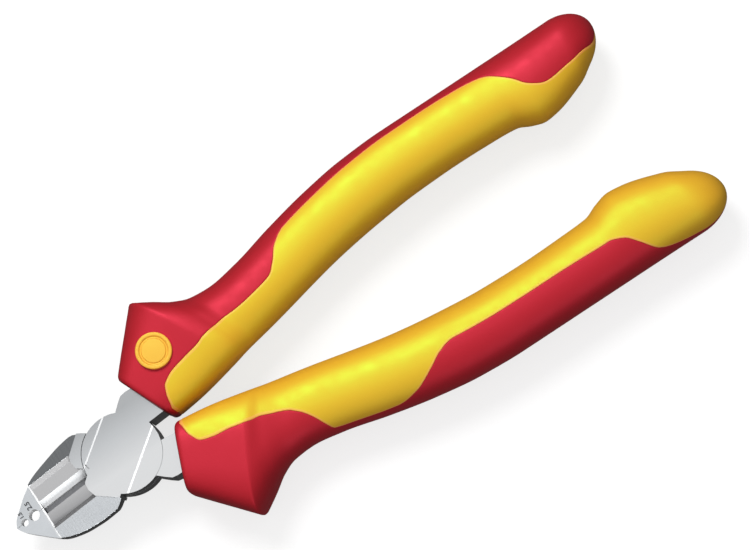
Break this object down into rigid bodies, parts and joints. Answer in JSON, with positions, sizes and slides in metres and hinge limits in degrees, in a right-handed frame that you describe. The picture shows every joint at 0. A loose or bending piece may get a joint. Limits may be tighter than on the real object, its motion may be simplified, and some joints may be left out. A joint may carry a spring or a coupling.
{
  "type": "diagonal cutting pliers",
  "caption": "Insulated diagonal cutting pliers with a riveted lap joint, wire-stripping holes in the nose and guarded red and yellow grips.",
  "frame": {"origin": "pivot axis at the flat rear face of the lap joint", "axes": "+X along the tool towards the handle ends, +Y towards the upper handle, +Z along the pivot towards the front face"},
  "size_m": [0.1589, 0.0541, 0.019],
  "materials": {
    "steel": "fine ground, nickel bright",
    "rivet_steel": "ground flush",
    "core_plastic": "moulded, hidden",
    "red_plastic": "satin",
    "yellow_plastic": "satin",
    "badge_plastic": "satin"
  },
  "bodies": {
    "rear_half": {"rear_lever": "steel", "lower_core": "core_plastic", "lower_red_shell": "red_plastic", "lower_yellow_inlay": "yellow_plastic", "lower_badge": "badge_plastic"},
    "front_half": {"front_lever": "steel", "pivot_rivet": "rivet_steel", "upper_core": "core_plastic", "upper_red_shell": "red_plastic", "upper_yellow_inlay": "yellow_plastic", "upper_badge": "badge_plastic"}
  },
  "joints": [
    {"name": "pivot", "type": "hinge", "parent": "rear_half", "child": "front_half", "pos_m": [0, 0, 0.005], "axis": [0, 0, 1], "range_deg": [0, 38]}
  ]
}
